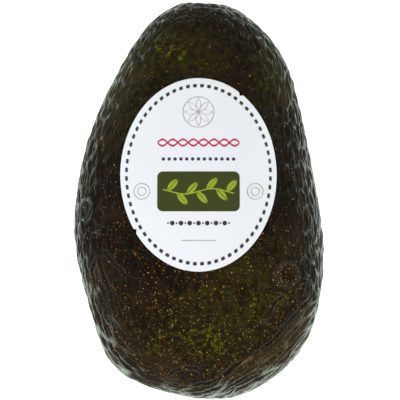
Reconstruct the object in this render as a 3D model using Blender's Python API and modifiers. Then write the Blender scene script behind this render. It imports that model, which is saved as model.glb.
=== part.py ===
"""An avocado lying on its side with an oval paper label stuck on top, in metres, +Z up.

The fruit's stem end points along +Y and its blossom end along -Y. The origin is on the surface that
the fruit rests on, below the middle of its bounding box.

The skin is raised from a smooth body by a formula. The middles of its pebbles are scattered over a
long ball, along a golden-angle spiral. The convex hull of the middles is turned into a net of cells,
one round each middle. Every cell is inset, its inner part is raised as a pebble, and the ball is then
drawn out into the fruit.
"""

import math

import bmesh
import bpy
import numpy as np
from mathutils import Vector

MM = 0.001

# The body. Its stations stand every 22.5 degrees of the polar angle, from the stem end to the blossom
# end: how full a section is there, and how far its middle sways to +X
STEM_REACH = 56.4 * MM
BLOSSOM_REACH = 55.1 * MM
FULLNESS = np.array((30.0, 30.7, 31.0, 31.5, 33.8, 36.5, 40.7, 44.3, 42.0)) * MM
SWAY = np.array((1.1, 0.6, 1.3, -0.3, -0.8, 0.5, 0.8, 0.8, 3.8)) * MM
DEPTH_RATIO = 0.955
REST_TILT = math.radians(4.6)
AXIS_HEIGHT = 31.2 * MM

# The pebbled skin: the height is from the valleys to the tallest pebble's top. The ball that carries
# the spiral is BALL_STRETCH times as long as it is wide, so the pebbles come out round on the fruit
PEBBLES = 735
PEBBLE_NUDGE = 0.26
PEBBLE_HEIGHT = 0.95 * MM
LOWEST_PEBBLE = 0.55
TOP_SHARE = 0.56
BALL_STRETCH = 1.45
PRESSED_SHARE = 0.85
PEBBLE_SEED = 11
VALLEY_ANGLE = math.radians(42.0)

# The hollow that the stalk grows from, and the ring of puckers round it
HOLLOW_RADIUS = 5.0 * MM
HOLLOW_DEPTH = 4.2 * MM
HOLLOW_STEEPNESS = 6.0
RIM_RADIUS = 6.8 * MM
RIM_PUCKERS = 11

# The scar of the flower at the other end, with puckers round it too
SCAR_RADIUS = 2.4 * MM
SCAR_DEPTH = 0.9 * MM
SCAR_STEEPNESS = 2.0
SCAR_RIM_RADIUS = 4.6 * MM
SCAR_PUCKERS = 7
PUCKER_CLEARANCE = 0.8

# The button that is left of the stalk
BUTTON_RADIUS = 3.3 * MM
BUTTON_WAIST = 2.7 * MM
BUTTON_HEIGHT = 2.2 * MM
BUTTON_SIDES = 20
BUTTON_COLOUR = (0.145, 0.090, 0.045, 1.0)

# The label, as seen from straight above
LABEL_WIDTH = 41.6 * MM
LABEL_LENGTH = 51.6 * MM
LABEL_CENTRE = (-0.4 * MM, 6.9 * MM)
LABEL_THICKNESS = 0.25 * MM
LABEL_COLUMNS = 16
LABEL_ROWS = 20
LABEL_COLOUR = (0.84, 0.87, 0.92, 1.0)

SKIN_COLOUR = (0.022, 0.020, 0.012, 1.0)
FIT_GAP = 0.3 * MM

HALF_LENGTH = 0.5 * (STEM_REACH + BLOSSOM_REACH)
MIDDLE = STEM_REACH - HALF_LENGTH
BALL_SHAPE = np.array((1.0, BALL_STRETCH, 1.0))


def unit(vectors):
    """The vectors scaled to length one."""
    return vectors / np.linalg.norm(vectors, axis=-1, keepdims=True)


def smooth_step(low, high, value):
    """Zero below low, one above high, and an S-shaped blend between them."""
    share = np.clip((value - low) / (high - low), 0.0, 1.0)
    return share * share * (3.0 - 2.0 * share)


def station_curve(values, polar):
    """The smooth even curve of the polar angle that passes through evenly spaced station values."""
    orders = np.arange(len(values))
    stations = np.linspace(0.0, math.pi, len(values))
    weights = np.linalg.solve(np.cos(np.outer(stations, orders)), values)
    return np.cos(np.outer(polar, orders)) @ weights


def body_points(directions):
    """Points on the smooth body for unit directions. Each section across Y is an ellipse."""
    polar = np.arccos(np.clip(directions[:, 1], -1.0, 1.0))
    fullness = station_curve(FULLNESS, polar)
    across = station_curve(SWAY, polar) + fullness * directions[:, 0]
    along = MIDDLE + HALF_LENGTH * directions[:, 1]
    up = AXIS_HEIGHT - math.tan(REST_TILT) * along + DEPTH_RATIO * fullness * directions[:, 2]
    return np.column_stack((across, along, up))


def outward(directions):
    """Unit vectors that leave the body, near enough at right angles to it to raise relief along."""
    radius = FULLNESS.mean()
    return unit(directions / np.array((radius, HALF_LENGTH, DEPTH_RATIO * radius)))


def spiral_directions(count):
    """Golden-angle spiral from pole to pole, with its turns as far apart as the long ball needs."""
    fine = np.linspace(1.0, -1.0, 20 * count)
    band = np.sqrt(BALL_STRETCH**2 * (1.0 - fine**2) + fine**2)
    covered = np.cumsum(band) / band.sum()
    along = np.interp((np.arange(count) + 0.5) / count, covered, fine)
    turn = np.arange(count) * math.pi * (3.0 - math.sqrt(5.0))
    ring = np.sqrt(1.0 - along**2)
    return np.column_stack((ring * np.cos(turn), along, ring * np.sin(turn)))


def pole_ring(side, radius, count):
    """Directions spaced evenly round the stem end (side 1) or the blossom end (side -1)."""
    spread = radius / (FULLNESS[0] if side > 0 else FULLNESS[-1])
    turn = np.arange(count) * 2.0 * math.pi / count
    along = np.full(count, side * math.sqrt(1.0 - spread**2))
    return np.column_stack((spread * np.cos(turn), along, spread * np.sin(turn)))


def pebble_middles():
    """Directions of the pebbles' middles: the spiral, nudged, then a ring round each end's own middle."""
    spiral = spiral_directions(PEBBLES)
    spacing = math.sqrt(4.0 * math.pi / PEBBLES)
    draw = np.random.default_rng(PEBBLE_SEED)
    spiral = unit(spiral + draw.uniform(-1.0, 1.0, spiral.shape) * PEBBLE_NUDGE * spacing)
    rim = pole_ring(1.0, RIM_RADIUS, RIM_PUCKERS)
    scar_rim = pole_ring(-1.0, SCAR_RIM_RADIUS, SCAR_PUCKERS)
    clear = PUCKER_CLEARANCE * spacing
    polar = np.arccos(spiral[:, 1])
    below_rim = polar > math.acos(rim[0, 1]) + clear
    above_scar = polar < math.acos(scar_rim[0, 1]) - clear
    poles = np.array(((0.0, 1.0, 0.0), (0.0, -1.0, 0.0)))
    return np.vstack((spiral[below_rim & above_scar], rim, scar_rim, poles))


def pebble_heights(count):
    """Heights of the pebbles above the valleys. The two at the poles, which come last, lie low."""
    draw = np.random.default_rng(PEBBLE_SEED + 1)
    heights = PEBBLE_HEIGHT * draw.uniform(LOWEST_PEBBLE, 1.0, count)
    heights[-2:] = 0.0
    return heights


def label_share(points):
    """One below the label and nothing well clear of it, as seen from straight above."""
    reach = np.hypot(
        (points[:, 0] - LABEL_CENTRE[0]) / (0.5 * LABEL_WIDTH),
        (points[:, 1] - LABEL_CENTRE[1]) / (0.5 * LABEL_LENGTH),
    )
    return (1.0 - smooth_step(1.0, 1.15, reach)) * (points[:, 2] > AXIS_HEIGHT)


def pole_pit(points, side, radius, steepness):
    """One on the axis at the stem end (side 1) or the blossom end (side -1), down to nothing at radius."""
    pole = body_points(np.array([[0.0, side, 0.0]]))[0]
    ring = np.hypot(points[:, 0] - pole[0], points[:, 2] - pole[2]) / radius
    return np.exp(-(ring**steepness)) * (points[:, 1] * side > 0.0)


def skin_points(directions, heights):
    """Points on the skin at heights above the valleys, down to the flat spot that the fruit rests on."""
    body = body_points(directions)
    hollow = pole_pit(body, 1.0, HOLLOW_RADIUS, HOLLOW_STEEPNESS)
    scar = pole_pit(body, -1.0, SCAR_RADIUS, SCAR_STEEPNESS)
    pressed = PRESSED_SHARE * label_share(body)
    heights = heights * (1.0 - PRESSED_SHARE * hollow)
    heights = heights * (1.0 - pressed) + PEBBLE_HEIGHT * PRESSED_SHARE * pressed
    points = body + outward(directions) * (heights - PEBBLE_HEIGHT)[:, None]
    points[:, 1] += SCAR_DEPTH * scar - HOLLOW_DEPTH * hollow
    points[:, 2] = np.maximum(points[:, 2], 0.0)
    return points


def skin_material(name, colour, roughness):
    """A Principled surface of one colour."""
    material = bpy.data.materials.new(name)
    material.use_nodes = True
    shader = material.node_tree.nodes["Principled BSDF"]
    shader.inputs["Base Color"].default_value = colour
    shader.inputs["Roughness"].default_value = roughness
    shader.inputs["Metallic"].default_value = 0.0
    material.diffuse_color = colour
    return material


def add_object(name, mesh, material, collection):
    """A named object for a mesh, in the avocado's collection."""
    mesh.materials.append(material)
    piece = bpy.data.objects.new(name, mesh)
    collection.objects.link(piece)
    return piece


def turn_about(middle):
    """A key that sorts faces by their turn about a vertex that they share."""
    across = middle.co.orthogonal().normalized()
    up = middle.co.cross(across).normalized()

    def turn(face):
        reach = face.calc_center_median() - middle.co
        return math.atan2(reach.dot(up), reach.dot(across))

    return turn


def pebble_net(middles):
    """A net on the long ball with one cell round each middle, cornered between each three of them."""
    hull = bmesh.new()
    for middle in middles * BALL_SHAPE:
        hull.verts.new(middle)
    bmesh.ops.convex_hull(hull, input=hull.verts)
    hull.faces.index_update()
    net = bmesh.new()
    corners = [net.verts.new(face.calc_center_median()) for face in hull.faces]
    for middle in hull.verts:
        around = sorted(middle.link_faces, key=turn_about(middle))
        net.faces.new([corners[face.index] for face in around])
    hull.free()
    return net


def fruit_mesh():
    """The whole fruit: every cell of the net is inset, and its inner part is a pebble's top."""
    middles = pebble_middles()
    net = pebble_net(middles)
    tops = net.faces[:]
    bmesh.ops.inset_individual(net, faces=tops, thickness=0.0)
    heights = dict.fromkeys(net.verts, 0.0)
    for top, middle, height in zip(tops, middles * BALL_SHAPE, pebble_heights(len(middles))):
        for vertex in top.verts:
            vertex.co = vertex.co.lerp(Vector(middle), 1.0 - TOP_SHARE)
            heights[vertex] = height
    directions = unit(np.array([vertex.co for vertex in net.verts]) / BALL_SHAPE)
    points = skin_points(directions, np.array([heights[vertex] for vertex in net.verts]))
    for vertex, point in zip(net.verts, points):
        vertex.co = point
    bmesh.ops.triangulate(net, faces=net.faces)
    bmesh.ops.recalc_face_normals(net, faces=net.faces)
    mesh = bpy.data.meshes.new("avocado_fruit")
    net.to_mesh(mesh)
    net.free()
    mesh.shade_smooth()
    mesh.set_sharp_from_angle(angle=VALLEY_ANGLE)
    return mesh


def build_button(material, collection):
    """The stalk's button: a turned plug with a waist, in the middle of the hollow at the stem end."""
    profile = (
        (0.0, BUTTON_HEIGHT - 0.5 * MM),
        (0.62 * BUTTON_RADIUS, BUTTON_HEIGHT - 0.3 * MM),
        (0.88 * BUTTON_RADIUS, BUTTON_HEIGHT),
        (BUTTON_RADIUS, 0.70 * BUTTON_HEIGHT),
        (BUTTON_WAIST, 0.28 * BUTTON_HEIGHT),
        (BUTTON_WAIST, 0.0),
        (0.0, 0.0),
    )
    mesh = bpy.data.meshes.new("stem_button")
    corners = [(radius, 0.0, height) for radius, height in profile]
    mesh.from_pydata(corners, [(i, i + 1) for i in range(len(corners) - 1)], [])
    button = add_object("stem_button", mesh, material, collection)
    turn = button.modifiers.new("turn", "SCREW")
    turn.steps = turn.render_steps = BUTTON_SIDES
    turn.use_merge_vertices = True
    turn.merge_threshold = 0.01 * MM
    pole = skin_points(np.array([[0.0, 1.0, 0.0]]), np.zeros(1))[0]
    button.location = (pole[0], pole[1] + FIT_GAP, pole[2])
    button.rotation_euler = (-math.radians(90.0), 0.0, 0.0)
    return button


def build_label(material, collection):
    """The label: a disc-shaped sheet that lies over the crowns of the pebbles, thickened outwards."""
    shape = bmesh.new()
    bmesh.ops.create_grid(shape, x_segments=LABEL_COLUMNS, y_segments=LABEL_ROWS, size=1.0)
    square = np.array([vertex.co for vertex in shape.verts])
    disc_x = square[:, 0] * np.sqrt(1.0 - 0.5 * square[:, 1] ** 2)
    disc_y = square[:, 1] * np.sqrt(1.0 - 0.5 * square[:, 0] ** 2)
    across = LABEL_CENTRE[0] + 0.5 * LABEL_WIDTH * disc_x
    along = LABEL_CENTRE[1] + 0.5 * LABEL_LENGTH * disc_y
    for vertex, point in zip(shape.verts, top_points(across, along, FIT_GAP)):
        vertex.co = point
    mesh = bpy.data.meshes.new("oval_label")
    shape.to_mesh(mesh)
    shape.free()
    label = add_object("oval_label", mesh, material, collection)
    paper = label.modifiers.new("paper", "SOLIDIFY")
    paper.thickness = LABEL_THICKNESS
    paper.offset = 1.0
    return label


def top_points(across, along, lift):
    """Points above the upper half of the body at the given plan position, lifted off it by a gap."""
    polar = np.arccos((along - MIDDLE) / HALF_LENGTH)
    side = (across - station_curve(SWAY, polar)) / station_curve(FULLNESS, polar)
    height = np.sqrt(np.sin(polar) ** 2 - side**2)
    directions = np.column_stack((side, np.cos(polar), height))
    return body_points(directions) + outward(directions) * lift


def main():
    """Clears the scene and builds the fruit, its stalk's button and its label."""
    for thing in list(bpy.data.objects):
        bpy.data.objects.remove(thing, do_unlink=True)
    collection = bpy.data.collections.new("avocado")
    bpy.context.scene.collection.children.link(collection)
    skin = skin_material("avocado_skin", SKIN_COLOUR, 0.45)
    bark = skin_material("stalk_bark", BUTTON_COLOUR, 0.8)
    paper = skin_material("coated_paper", LABEL_COLOUR, 0.5)
    add_object("avocado_fruit", fruit_mesh(), skin, collection)
    build_button(bark, collection)
    build_label(paper, collection)


main()
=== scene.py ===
"""Looks of a whole avocado that lies on its side with an oval paper label stuck on it.

Everything is in metres in the frame of the solids: +Y runs to the stem end, +Z is up and the fruit
rests on z = 0. The camera looks straight down. Positions that were read off the photograph are given
in view millimetres: millimetres right of and up from the picture's middle, as they look on the level
of the fruit's outline.
"""

import logging
import math
from collections.abc import Callable
from dataclasses import dataclass
from enum import Enum, IntEnum
from functools import partial
from itertools import product
from typing import Any

import bpy
import numpy as np
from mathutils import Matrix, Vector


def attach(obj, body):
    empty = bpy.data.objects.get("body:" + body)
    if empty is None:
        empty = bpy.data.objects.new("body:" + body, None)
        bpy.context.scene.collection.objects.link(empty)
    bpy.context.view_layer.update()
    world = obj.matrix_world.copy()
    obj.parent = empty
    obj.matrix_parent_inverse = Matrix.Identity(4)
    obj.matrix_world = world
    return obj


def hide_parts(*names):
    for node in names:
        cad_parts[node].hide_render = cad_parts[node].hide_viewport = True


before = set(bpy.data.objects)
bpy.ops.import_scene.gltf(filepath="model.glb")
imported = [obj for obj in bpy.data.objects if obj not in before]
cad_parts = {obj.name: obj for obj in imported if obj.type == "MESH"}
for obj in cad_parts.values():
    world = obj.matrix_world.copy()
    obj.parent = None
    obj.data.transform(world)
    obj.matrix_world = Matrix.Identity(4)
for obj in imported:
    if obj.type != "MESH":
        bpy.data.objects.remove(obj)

Array = np.ndarray
Pair = tuple[float, float]
Nodes = bpy.types.NodeTree
Socket = bpy.types.NodeSocket
Add = Callable[..., Socket]
LOG = logging.getLogger("avocado")

MM = 0.001
TURN = 2.0 * math.pi
BODY = "root"

# The camera stands this high above the floor, and the fruit's outline lies on this level
CAMERA_HEIGHT = 0.801
CAMERA_LENS_MM = 250.0
OUTLINE_LEVEL = 33.0 * MM

# The fruit's hollow at the stem end, which its skin and its button share
HOLLOW_RADIUS = 5.0 * MM
HOLLOW_DEPTH = 4.2 * MM

# What the skin's mesh stores at each point for its material
SKIN_ATTRIBUTES = (
    "green", "olive", "tan", "specks", "folds", "valley", "dry", "streaks", "waxed", "torn",
    "charted", "around_mm", "arc_mm", "across_mm", "along_mm", "crease_mm",
)


class Slot(Enum):
    """The names of the record's material slots for the skin, the stalk and the label."""

    SKIN = "skin"
    STALK = "stalk"
    LABEL = "label"


class End(Enum):
    """The fruit's two ends, by the sign of their direction along Y."""

    STEM = 1.0
    BLOSSOM = -1.0


class Seed(IntEnum):
    """The seed of each random pattern. The warp takes three, one for each axis."""

    PEBBLES = 11
    PEBBLE_HEIGHTS = 12
    LUMPS = 21
    SWELL = 22
    LUMP_PATCHES = 23
    GREEN_CLOUDS = 24
    WARP = 30
    WOOD_CRACKS = 41
    PAPER_WAVES = 51


def linear(colour: str) -> tuple[float, float, float, float]:
    """An sRGB colour such as #aabbcc as linear red, green, blue and an alpha of one.

    Each channel c above 0.04045 becomes ((c + 0.055) / 1.055) to the power 2.4, and c / 12.92 below.

    Args:
        colour: six hex digits after a hash.

    Returns:
        The four linear channels.
    """
    channels = [int(colour[place:place + 2], 16) / 255.0 for place in (1, 3, 5)]
    red, green, blue = (c / 12.92 if c <= 0.04045 else ((c + 0.055) / 1.055) ** 2.4 for c in channels)
    return red, green, blue, 1.0


def feed(node: bpy.types.Node, inputs: dict[Any, Any]) -> None:
    """Gives inputs of a node their values and links.

    Args:
        node: the node.
        inputs: value or source socket for each input, by the input's name or number.
    """
    for key, value in inputs.items():
        if isinstance(value, Socket):
            node.id_data.links.new(value, node.inputs[key])
        else:
            node.inputs[key].default_value = value


def add_node(tree: Nodes, kind: str, inputs: dict[Any, Any] | None = None, output: str = "",
             **settings: Any) -> Socket:
    """Adds a shader node with its settings and its input values or links.

    Args:
        tree: the node tree that gets the node.
        kind: the node's Blender type, without ShaderNode in front.
        inputs: value or source socket for each input, by the input's name or number.
        output: name of the output to return, or nothing for the first one in use.
        **settings: the node's own properties.

    Returns:
        One output of the new node.
    """
    node = tree.nodes.new("ShaderNode" + kind)
    for name, value in settings.items():
        setattr(node, name, value)
    feed(node, inputs or {})
    return node.outputs[output] if output else next(socket for socket in node.outputs if socket.enabled)


def new_material(name: str) -> tuple[bpy.types.Material, Add, bpy.types.Node, Socket]:
    """Starts a material.

    Args:
        name: the material's name.

    Returns:
        The material, add_node for its tree, its shader, and Object coordinates.
    """
    material = bpy.data.materials.new(name)
    material.use_nodes = True
    add = partial(add_node, material.node_tree)
    return material, add, material.node_tree.nodes["Principled BSDF"], add("TexCoord", output="Object")


def unit(vectors: Array) -> Array:
    """The vectors scaled to length one."""
    return vectors / np.linalg.norm(vectors, axis=-1, keepdims=True)


def smooth_step(start: float, end: float, value: Array) -> Array:
    """Zero at start, one at end, above or below it, and 3s² - 2s³ of the share s between them."""
    share = np.clip((value - start) / (end - start), 0.0, 1.0)
    return share * share * (3.0 - 2.0 * share)


def seen_from_above(points: Array) -> Array:
    """Where the camera at height H sees points on the outline's level h: (x, y) (H - h) / (H - z)."""
    spread = (CAMERA_HEIGHT - OUTLINE_LEVEL) / (CAMERA_HEIGHT - points[:, 2])
    return points[:, :2] * spread[:, None]


class CellNoise:
    """Cellular noise: one point scattered in every cube of a lattice, drawn from a seed."""

    SIZE = 48

    def __init__(self, seed: int) -> None:
        """Draws the place of the point in each cube."""
        self.places = np.random.default_rng(seed).random((self.SIZE, self.SIZE, self.SIZE, 3))

    def edge_distance(self, points: Array, spacing: Array) -> Array:
        """Distance in metres to the nearest border between two cells.

        The 27 cubes round each place are searched for the two nearest scattered points. Half the
        difference of their distances is the way to the border, in lattice cubes, and the geometric
        mean of the cube's edges turns it into metres.

        Args:
            points: positions in metres, one row each.
            spacing: the three edges of a lattice cube in metres.

        Returns:
            Zero on a border, growing to about half the spacing in a cell's middle.
        """
        scaled = points / spacing
        home = np.floor(scaled).astype(int)
        nearest = np.full(len(points), np.inf)
        second = np.full(len(points), np.inf)
        for step in product((-1, 0, 1), repeat=3):
            cube = home + step
            place = cube + self.places[tuple((cube % self.SIZE).T)]
            distance = np.linalg.norm(scaled - place, axis=1)
            second = np.minimum(second, np.maximum(nearest, distance))
            nearest = np.minimum(nearest, distance)
        return 0.5 * (second - nearest) * float(np.prod(spacing)) ** (1.0 / 3.0)


class CloudNoise:
    """Value noise: random numbers on a lattice, blended smoothly between its corners."""

    SIZE = 64
    LAYER_SHIFT = 0.37

    def __init__(self, seed: int) -> None:
        """Draws the numbers."""
        self.values = np.random.default_rng(seed).uniform(-1.0, 1.0, (self.SIZE, self.SIZE, self.SIZE))

    def cloud(self, points: Array, spacing: float, layers: int) -> Array:
        """Layers of noise added up, each at half the spacing and half the strength of the last.

        A layer gives the eight corners' numbers, from -1 to 1, under 3s² - 2s³ weights.

        Args:
            points: positions in metres, one row each.
            spacing: edge of a lattice cube of the first layer in metres.
            layers: how many there are.

        Returns:
            The sum at each position.
        """
        total = np.zeros(len(points))
        for level in range(layers):
            scaled = (points + self.LAYER_SHIFT * level) / (spacing / 2.0**level)
            home = np.floor(scaled).astype(int)
            share = smooth_step(0.0, 1.0, scaled - home)
            for corner in product((0, 1), repeat=3):
                weight = np.prod(np.where(np.array(corner) == 1, share, 1.0 - share), axis=1)
                total += weight * self.values[tuple(((home + corner) % self.SIZE).T)] / 2.0**level
        return total


@dataclass(frozen=True)
class FruitForm:
    """The smooth body of the fruit, as in the solids, before any relief is raised on it."""

    stem_reach: float = 56.4 * MM
    blossom_reach: float = 55.1 * MM
    fullness_mm: tuple[float, ...] = (30.0, 30.7, 31.0, 31.5, 33.8, 36.5, 40.7, 44.3, 42.0)
    sway_mm: tuple[float, ...] = (1.1, 0.6, 1.3, -0.3, -0.8, 0.5, 0.8, 0.8, 3.8)
    depth_ratio: float = 0.955
    rest_tilt: float = math.radians(4.6)
    axis_height: float = 31.2 * MM
    ball_stretch: float = 1.45
    fine_steps: int = 4001

    @property
    def half_length(self) -> float:
        """Half of the body's length."""
        return 0.5 * (self.stem_reach + self.blossom_reach)

    @property
    def middle(self) -> float:
        """Where the middle of the body's length is along Y."""
        return self.stem_reach - self.half_length

    @property
    def ball_shape(self) -> Array:
        """The long ball that carries the pebbles' middles, as its three half axes."""
        return np.array((1.0, self.ball_stretch, 1.0))

    def station_curve(self, values_mm: tuple[float, ...], polar: Array) -> Array:
        """The even cosine curve of the polar angle through evenly spaced station values.

        The weights w solve sum of w cos(k θ) = value at each station θ, and the curve is that sum.

        Args:
            values_mm: the values in millimetres, from the stem end to the blossom end.
            polar: angles from +Y.

        Returns:
            The curve in metres at each angle.
        """
        orders = np.arange(len(values_mm))
        stations = np.linspace(0.0, math.pi, len(values_mm))
        weights = np.linalg.solve(np.cos(np.outer(stations, orders)), np.array(values_mm) * MM)
        return np.cos(np.outer(polar, orders)) @ weights

    def girth(self, polar: Array) -> Array:
        """Half width of the body at polar angles: fullness times sin θ."""
        return self.station_curve(self.fullness_mm, polar) * np.sin(polar)

    def arc_length(self, polar: Array) -> Array:
        """Length of the body's outline from the stem end to polar angles.

        It grows by √((L sin θ)² + (dg/dθ)²) for each step of θ, with L the half length and g the
        girth.

        Args:
            polar: angles from +Y.

        Returns:
            Lengths in metres.
        """
        fine = np.linspace(0.0, math.pi, self.fine_steps)
        speed = np.hypot(self.half_length * np.sin(fine), np.gradient(self.girth(fine), fine))
        return np.interp(polar, fine, np.cumsum(speed) * fine[1])

    def points(self, directions: Array) -> Array:
        """Points on the body for unit directions. Each section across Y is an ellipse.

        x = sway + fullness dx, y = middle + half length dy, z = axis + depth ratio fullness dz, where
        the axis drops towards the stem end by the tangent of the rest tilt.

        Args:
            directions: unit vectors, one row each.

        Returns:
            Positions, one row each.
        """
        polar = np.arccos(np.clip(directions[:, 1], -1.0, 1.0))
        fullness = self.station_curve(self.fullness_mm, polar)
        across = self.station_curve(self.sway_mm, polar) + fullness * directions[:, 0]
        along = self.middle + self.half_length * directions[:, 1]
        axis = self.axis_height - math.tan(self.rest_tilt) * along
        return np.column_stack((across, along, axis + self.depth_ratio * fullness * directions[:, 2]))

    def outward(self, directions: Array) -> Array:
        """Unit vectors that leave the body, near enough at right angles to it."""
        radius = np.mean(self.fullness_mm) * MM
        return unit(directions / np.array((radius, self.half_length, self.depth_ratio * radius)))

    def upper_directions(self, across: Array, along: Array) -> Array:
        """Directions of the points of the body's upper half at a plan position.

        cos θ = (y - middle) / half length, dx = (x - sway) / fullness, dz = √(sin²θ - dx²).

        Args:
            across: plan x of each point.
            along: plan y of each point.

        Returns:
            Unit vectors, one row each.
        """
        polar = np.arccos((along - self.middle) / self.half_length)
        sway = self.station_curve(self.sway_mm, polar)
        side = (across - sway) / self.station_curve(self.fullness_mm, polar)
        return np.column_stack((side, np.cos(polar), np.sqrt(np.sin(polar) ** 2 - side**2)))

    def pole(self, end: End) -> Array:
        """The body's point on its own axis at one end."""
        return self.points(np.array([[0.0, end.value, 0.0]]))[0]

    def pit(self, points: Array, end: End, radius: float, steepness: float) -> Array:
        """A pit round one end: exp(-(r / radius)^steepness), with r the distance from the axis.

        Args:
            points: positions, one row each.
            end: the end that has the pit.
            radius: the pit's radius.
            steepness: how steep its wall is.

        Returns:
            The pit's share at each point, one in its middle.
        """
        pole = self.pole(end)
        ring = np.hypot(points[:, 0] - pole[0], points[:, 2] - pole[2]) / radius
        return np.exp(-(ring**steepness)) * (points[:, 1] * end.value > 0.0)


@dataclass(frozen=True)
class LabelOutline:
    """The oval that the label covers, as seen from straight above."""

    width: float = 41.6 * MM
    length: float = 51.6 * MM
    centre_x: float = -0.4 * MM
    centre_y: float = 6.9 * MM

    def reach(self, points: Array) -> Array:
        """Distance from the label's middle as a share of the oval's radius there."""
        across = (points[:, 0] - self.centre_x) / (0.5 * self.width)
        return np.hypot(across, (points[:, 1] - self.centre_y) / (0.5 * self.length))


@dataclass(frozen=True)
class MainPebbles:
    """The pebbles of the solids: middles on a golden-angle spiral, and puckers round both ends."""

    form: FruitForm
    count: int = 735
    nudge: float = 0.26
    lowest: float = 0.55
    flatness: float = 2.6
    rim_radius: float = 6.8 * MM
    rim_puckers: int = 11
    scar_rim_radius: float = 4.6 * MM
    scar_puckers: int = 7
    pucker_clearance: float = 0.8
    batch: int = 8192

    def spiral(self) -> Array:
        """Golden-angle spiral from pole to pole, with its turns as far apart as the long ball needs.

        Returns:
            Unit vectors, one row each.
        """
        fine = np.linspace(1.0, -1.0, 20 * self.count)
        band = np.sqrt(self.form.ball_stretch**2 * (1.0 - fine**2) + fine**2)
        covered = np.cumsum(band) / band.sum()
        along = np.interp((np.arange(self.count) + 0.5) / self.count, covered, fine)
        turn = np.arange(self.count) * math.pi * (3.0 - math.sqrt(5.0))
        ring = np.sqrt(1.0 - along**2)
        return np.column_stack((ring * np.cos(turn), along, ring * np.sin(turn)))

    def pole_ring(self, end: End, radius: float, count: int) -> Array:
        """Directions spaced evenly round one end.

        Args:
            end: the fruit's end.
            radius: the ring's radius.
            count: how many directions there are.

        Returns:
            Unit vectors, one row each.
        """
        spread = radius / (self.form.fullness_mm[0 if end is End.STEM else -1] * MM)
        turn = np.arange(count) * TURN / count
        along = np.full(count, end.value * math.sqrt(1.0 - spread**2))
        return np.column_stack((spread * np.cos(turn), along, spread * np.sin(turn)))

    def middles(self) -> Array:
        """Directions of the pebbles' middles, in the order of the solids.

        Returns:
            Unit vectors: the spiral between the puckers, both rings of puckers and the two poles.
        """
        spacing = math.sqrt(4.0 * math.pi / self.count)
        draw = np.random.default_rng(Seed.PEBBLES)
        spiral = self.spiral()
        spiral = unit(spiral + draw.uniform(-1.0, 1.0, spiral.shape) * self.nudge * spacing)
        rim = self.pole_ring(End.STEM, self.rim_radius, self.rim_puckers)
        scar_rim = self.pole_ring(End.BLOSSOM, self.scar_rim_radius, self.scar_puckers)
        clear = self.pucker_clearance * spacing
        polar = np.arccos(spiral[:, 1])
        below_rim = polar > math.acos(rim[0, 1]) + clear
        above_scar = polar < math.acos(scar_rim[0, 1]) - clear
        poles = np.array(((0.0, 1.0, 0.0), (0.0, -1.0, 0.0)))
        return np.vstack((spiral[below_rim & above_scar], rim, scar_rim, poles))

    def domes(self, directions: Array) -> Array:
        """The pebbles as rounded domes: height times 1 - e^flatness, with e = 2 F1 / (F1 + F2).

        F1 and F2 are the distances on the long ball to the nearest and second nearest middle. The
        places are worked out in batches, to save memory.

        Args:
            directions: unit vectors, one row each.

        Returns:
            Heights above the valleys, as shares of the tallest pebble.
        """
        middles = self.middles()
        heights = np.random.default_rng(Seed.PEBBLE_HEIGHTS).uniform(self.lowest, 1.0, len(middles))
        heights[-2:] = 0.0
        share = np.empty(len(directions))
        for start in range(0, len(directions), self.batch):
            part = slice(start, start + self.batch)
            gap = np.linalg.norm((directions[part, None] - middles[None]) * self.form.ball_shape, axis=2)
            order = np.argpartition(gap, 1, axis=1)[:, :2]
            two = np.take_along_axis(gap, order, axis=1)
            first = order[np.arange(len(order)), two.argmin(axis=1)]
            edge = 2.0 * two.min(axis=1) / two.sum(axis=1)
            share[part] = heights[first] * (1.0 - edge**self.flatness)
        return share


def add_piece(name: str, node: str, points: Array, sectors: int,
              attributes: dict[str, Array], material: bpy.types.Material) -> bpy.types.Object:
    """Adds a closed, smooth shaded grid that stands for a solid's node.

    Its faces are a fan, the quads between the rings, and a second fan. It rides on the body, takes the
    given material and hides the node.

    Args:
        name: the piece's name.
        node: the node that it replaces.
        points: a pole, rings of points that close on themselves, and a second pole, one row each.
        sectors: number of points in each ring.
        attributes: one number for each point, by the name that the material reads.
        material: its finish.

    Returns:
        The piece.
    """
    ring = np.arange(sectors)
    onward = (ring + 1) % sectors
    last = len(points) - 1
    here = np.arange(1, last - sectors, sectors)[:, None]
    there = here + sectors
    quads = np.stack((here + ring, here + onward, there + onward, there + ring), axis=-1).reshape(-1, 4)
    first_fan = np.column_stack((np.zeros(sectors, int), 1 + onward, 1 + ring))
    last_fan = np.column_stack((np.full(sectors, last), last - sectors + ring, last - sectors + onward))
    mesh = bpy.data.meshes.new(name)
    mesh.from_pydata(points.tolist(), [], first_fan.tolist() + quads.tolist() + last_fan.tolist())
    mesh.shade_smooth()
    mesh.update()
    for key, values in attributes.items():
        mesh.attributes.new(key, "FLOAT", "POINT").data.foreach_set("value", values.astype(np.float32))
    mesh.materials.append(material)
    piece = bpy.data.objects.new(name, mesh)
    bpy.context.scene.collection.objects.link(piece)
    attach(piece, BODY)
    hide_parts(node)
    LOG.info("%s: %d points, stands for %s", name, len(points), node)
    return piece


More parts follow.
